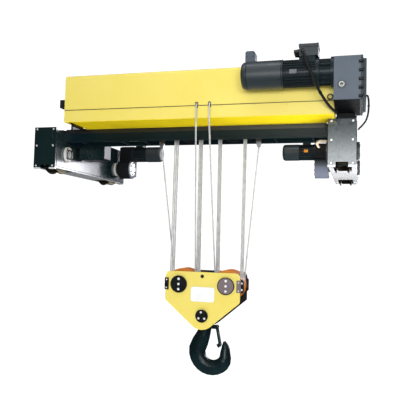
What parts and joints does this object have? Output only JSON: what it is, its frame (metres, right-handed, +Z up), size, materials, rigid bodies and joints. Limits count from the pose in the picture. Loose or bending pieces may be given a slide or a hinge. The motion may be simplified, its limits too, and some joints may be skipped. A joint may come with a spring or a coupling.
{
  "type": "electric wire rope hoist",
  "caption": "Double-rail electric wire rope hoist: yellow drum cover, front-mounted motor and gearbox, travel carriages, sheave frame and a hook block hung on many rope falls.",
  "frame": {"origin": "midway between the two rails, level with the rail tops, midway along the wheel base", "axes": "+Z up; +X across the rails towards the gearbox; -Y is the front, where the hoist motor sits"},
  "size_m": [3.1647, 2.158, 2.8167],
  "materials": {
    "yellow_paint": "semi-gloss enamel on steel sheet and plate",
    "frame_paint": "satin dark grey-green enamel",
    "grey_paint": "satin grey enamel over cast housing",
    "motor_paint": "satin dark grey enamel over aluminium and cast iron",
    "black_paint": "satin black enamel",
    "machined_steel": "turned and ground steel",
    "cast_steel": "cast steel, lightly oiled",
    "forged_steel": "forged steel, dark paint worn on edges",
    "wheel_steel": "hardened wheel steel with a bright worn tread",
    "sheave_paint": "orange-red primer with a worn groove",
    "wire_rope": "galvanised wire rope",
    "zinc_bolts": "zinc-plated steel",
    "sight_glass": "clear window in a plated ring",
    "black_plastic": "moulded polyamide",
    "cable_rubber": "smooth black cable sheath",
    "white_plate": "blank white enamelled plate"
  },
  "bodies": {
    "trolley": {"end_carriage_left": "frame_paint", "end_carriage_right": "frame_paint", "carriage_end_plates": "frame_paint", "bearing_housings": "machined_steel", "sheave_frame": "frame_paint", "upper_sheave_pins": "machined_steel", "wedge_sockets": "cast_steel", "rope_falls": "wire_rope", "drum_cover_upper": "yellow_paint", "drum_cover_lower": "yellow_paint", "gearbox_housing": "grey_paint", "gearbox_cover": "grey_paint", "oil_sight_glass": "sight_glass", "lifting_eye": "black_paint", "motor_stator": "motor_paint", "motor_fan_cover": "motor_paint", "motor_flange": "motor_paint", "terminal_box": "motor_paint", "cable_glands": "black_plastic", "brake_box": "grey_paint", "power_cables": "cable_rubber", "travel_gear_cases": "motor_paint", "travel_motor_housings": "motor_paint", "travel_fan_covers": "black_paint", "junction_box": "black_paint", "limit_switch": "black_plastic", "hex_bolts": "zinc_bolts"},
    "drum": {"hoist_drum": "cast_steel", "drum_gear": "machined_steel"},
    "intermediate": {"intermediate_gear": "machined_steel"},
    "rotor": {"motor_rotor": "machined_steel"},
    "wheel_front_left": {"wheel_front_left": "wheel_steel"},
    "wheel_front_right": {"wheel_front_right": "wheel_steel"},
    "wheel_rear_left": {"wheel_rear_left": "wheel_steel"},
    "wheel_rear_right": {"wheel_rear_right": "wheel_steel"},
    "upper_sheave_left_1": {"upper_sheave_left_1": "sheave_paint"},
    "upper_sheave_left_2": {"upper_sheave_left_2": "sheave_paint"},
    "upper_sheave_left_3": {"upper_sheave_left_3": "sheave_paint"},
    "upper_sheave_right_1": {"upper_sheave_right_1": "sheave_paint"},
    "upper_sheave_right_2": {"upper_sheave_right_2": "sheave_paint"},
    "upper_sheave_right_3": {"upper_sheave_right_3": "sheave_paint"},
    "block_sheave_left_1": {"block_sheave_left_1": "sheave_paint"},
    "block_sheave_left_2": {"block_sheave_left_2": "sheave_paint"},
    "block_sheave_left_3": {"block_sheave_left_3": "sheave_paint"},
    "block_sheave_left_4": {"block_sheave_left_4": "sheave_paint"},
    "block_sheave_right_1": {"block_sheave_right_1": "sheave_paint"},
    "block_sheave_right_2": {"block_sheave_right_2": "sheave_paint"},
    "block_sheave_right_3": {"block_sheave_right_3": "sheave_paint"},
    "block_sheave_right_4": {"block_sheave_right_4": "sheave_paint"},
    "hook_block": {"block_side_plates": "yellow_paint", "block_spacers": "frame_paint", "block_pins": "machined_steel", "pin_covers": "black_paint", "guard_clips": "black_paint", "capacity_plate": "white_plate", "cover_screws": "zinc_bolts"},
    "crosshead": {"crosshead": "forged_steel"},
    "hook": {"hook": "forged_steel", "hook_nut": "machined_steel"},
    "latch": {"hook_latch": "forged_steel"}
  },
  "joints": [
    {"name": "hook_lift", "type": "slide", "parent": "trolley", "child": "hook_block", "axis": [0, 0, 1], "range_m": [-5, 0.5], "deforming": ["rope_falls"]},
    {"name": "drum_spin", "type": "hinge", "parent": "trolley", "child": "drum", "pos_m": [0.1, -0.852, 0.636], "axis": [1, 0, 0], "continuous": true},
    {"name": "intermediate_spin", "type": "hinge", "parent": "trolley", "child": "intermediate", "pos_m": [1.45, -1.03194, 0.63143], "axis": [1, 0, 0], "continuous": true},
    {"name": "rotor_spin", "type": "hinge", "parent": "trolley", "child": "rotor", "pos_m": [1.2, -1.157, 0.723], "axis": [1, 0, 0], "continuous": true},
    {"name": "wheel_front_left_spin", "type": "hinge", "parent": "trolley", "child": "wheel_front_left", "pos_m": [-1.4, -0.6, 0.175], "axis": [1, 0, 0], "continuous": true},
    {"name": "wheel_front_right_spin", "type": "hinge", "parent": "trolley", "child": "wheel_front_right", "pos_m": [1.4, -0.6, 0.175], "axis": [1, 0, 0], "continuous": true},
    {"name": "wheel_rear_left_spin", "type": "hinge", "parent": "trolley", "child": "wheel_rear_left", "pos_m": [-1.4, 0.6, 0.175], "axis": [1, 0, 0], "continuous": true},
    {"name": "wheel_rear_right_spin", "type": "hinge", "parent": "trolley", "child": "wheel_rear_right", "pos_m": [1.4, 0.6, 0.175], "axis": [1, 0, 0], "continuous": true},
    {"name": "upper_sheave_left_1_spin", "type": "hinge", "parent": "trolley", "child": "upper_sheave_left_1", "pos_m": [-0.032, -0.587, 0.43], "axis": [0, 1, 0], "continuous": true},
    {"name": "upper_sheave_left_2_spin", "type": "hinge", "parent": "trolley", "child": "upper_sheave_left_2", "pos_m": [-0.032, -0.535, 0.43], "axis": [0, 1, 0], "continuous": true},
    {"name": "upper_sheave_left_3_spin", "type": "hinge", "parent": "trolley", "child": "upper_sheave_left_3", "pos_m": [-0.032, -0.483, 0.43], "axis": [0, 1, 0], "continuous": true},
    {"name": "upper_sheave_right_1_spin", "type": "hinge", "parent": "trolley", "child": "upper_sheave_right_1", "pos_m": [0.396, -0.587, 0.43], "axis": [0, 1, 0], "continuous": true},
    {"name": "upper_sheave_right_2_spin", "type": "hinge", "parent": "trolley", "child": "upper_sheave_right_2", "pos_m": [0.396, -0.535, 0.43], "axis": [0, 1, 0], "continuous": true},
    {"name": "upper_sheave_right_3_spin", "type": "hinge", "parent": "trolley", "child": "upper_sheave_right_3", "pos_m": [0.396, -0.483, 0.43], "axis": [0, 1, 0], "continuous": true},
    {"name": "block_sheave_left_1_spin", "type": "hinge", "parent": "hook_block", "child": "block_sheave_left_1", "pos_m": [-0.032, -0.613, -1.043], "axis": [0, 1, 0], "continuous": true},
    {"name": "block_sheave_left_2_spin", "type": "hinge", "parent": "hook_block", "child": "block_sheave_left_2", "pos_m": [-0.032, -0.561, -1.043], "axis": [0, 1, 0], "continuous": true},
    {"name": "block_sheave_left_3_spin", "type": "hinge", "parent": "hook_block", "child": "block_sheave_left_3", "pos_m": [-0.032, -0.509, -1.043], "axis": [0, 1, 0], "continuous": true},
    {"name": "block_sheave_left_4_spin", "type": "hinge", "parent": "hook_block", "child": "block_sheave_left_4", "pos_m": [-0.032, -0.457, -1.043], "axis": [0, 1, 0], "continuous": true},
    {"name": "block_sheave_right_1_spin", "type": "hinge", "parent": "hook_block", "child": "block_sheave_right_1", "pos_m": [0.396, -0.613, -1.043], "axis": [0, 1, 0], "continuous": true},
    {"name": "block_sheave_right_2_spin", "type": "hinge", "parent": "hook_block", "child": "block_sheave_right_2", "pos_m": [0.396, -0.561, -1.043], "axis": [0, 1, 0], "continuous": true},
    {"name": "block_sheave_right_3_spin", "type": "hinge", "parent": "hook_block", "child": "block_sheave_right_3", "pos_m": [0.396, -0.509, -1.043], "axis": [0, 1, 0], "continuous": true},
    {"name": "block_sheave_right_4_spin", "type": "hinge", "parent": "hook_block", "child": "block_sheave_right_4", "pos_m": [0.396, -0.457, -1.043], "axis": [0, 1, 0], "continuous": true},
    {"name": "crosshead_tilt", "type": "hinge", "parent": "hook_block", "child": "crosshead", "pos_m": [0.186, -0.535, -1.319], "axis": [0, 1, 0], "range_deg": [-8, 8]},
    {"name": "hook_swivel", "type": "hinge", "parent": "crosshead", "child": "hook", "pos_m": [0.186, -0.535, -1.4], "axis": [0, 0, 1], "continuous": true},
    {"name": "latch_swing", "type": "hinge", "parent": "hook", "child": "latch", "pos_m": [0.288, -0.535, -1.431], "axis": [0, 1, 0], "range_deg": [0, 22], "stiffness_Nm_per_rad": 1.5, "springref_deg": -34.38}
  ],
  "couplings": [
    {"joint": "drum_spin", "follows": "hook_lift", "rad_per_m": -53.333},
    {"joint": "intermediate_spin", "follows": "hook_lift", "rad_per_m": 160},
    {"joint": "rotor_spin", "follows": "hook_lift", "rad_per_m": -548.57},
    {"joint": "upper_sheave_left_1_spin", "follows": "hook_lift", "rad_per_m": -50},
    {"joint": "upper_sheave_left_2_spin", "follows": "hook_lift", "rad_per_m": -33.333},
    {"joint": "upper_sheave_left_3_spin", "follows": "hook_lift", "rad_per_m": -16.667},
    {"joint": "upper_sheave_right_1_spin", "follows": "hook_lift", "rad_per_m": 50},
    {"joint": "upper_sheave_right_2_spin", "follows": "hook_lift", "rad_per_m": 33.333},
    {"joint": "upper_sheave_right_3_spin", "follows": "hook_lift", "rad_per_m": 16.667},
    {"joint": "block_sheave_left_1_spin", "follows": "hook_lift", "rad_per_m": -58.333},
    {"joint": "block_sheave_left_2_spin", "follows": "hook_lift", "rad_per_m": -41.667},
    {"joint": "block_sheave_left_3_spin", "follows": "hook_lift", "rad_per_m": -25},
    {"joint": "block_sheave_left_4_spin", "follows": "hook_lift", "rad_per_m": -8.3333},
    {"joint": "block_sheave_right_1_spin", "follows": "hook_lift", "rad_per_m": 58.333},
    {"joint": "block_sheave_right_2_spin", "follows": "hook_lift", "rad_per_m": 41.667},
    {"joint": "block_sheave_right_3_spin", "follows": "hook_lift", "rad_per_m": 25},
    {"joint": "block_sheave_right_4_spin", "follows": "hook_lift", "rad_per_m": 8.3333}
  ]
}
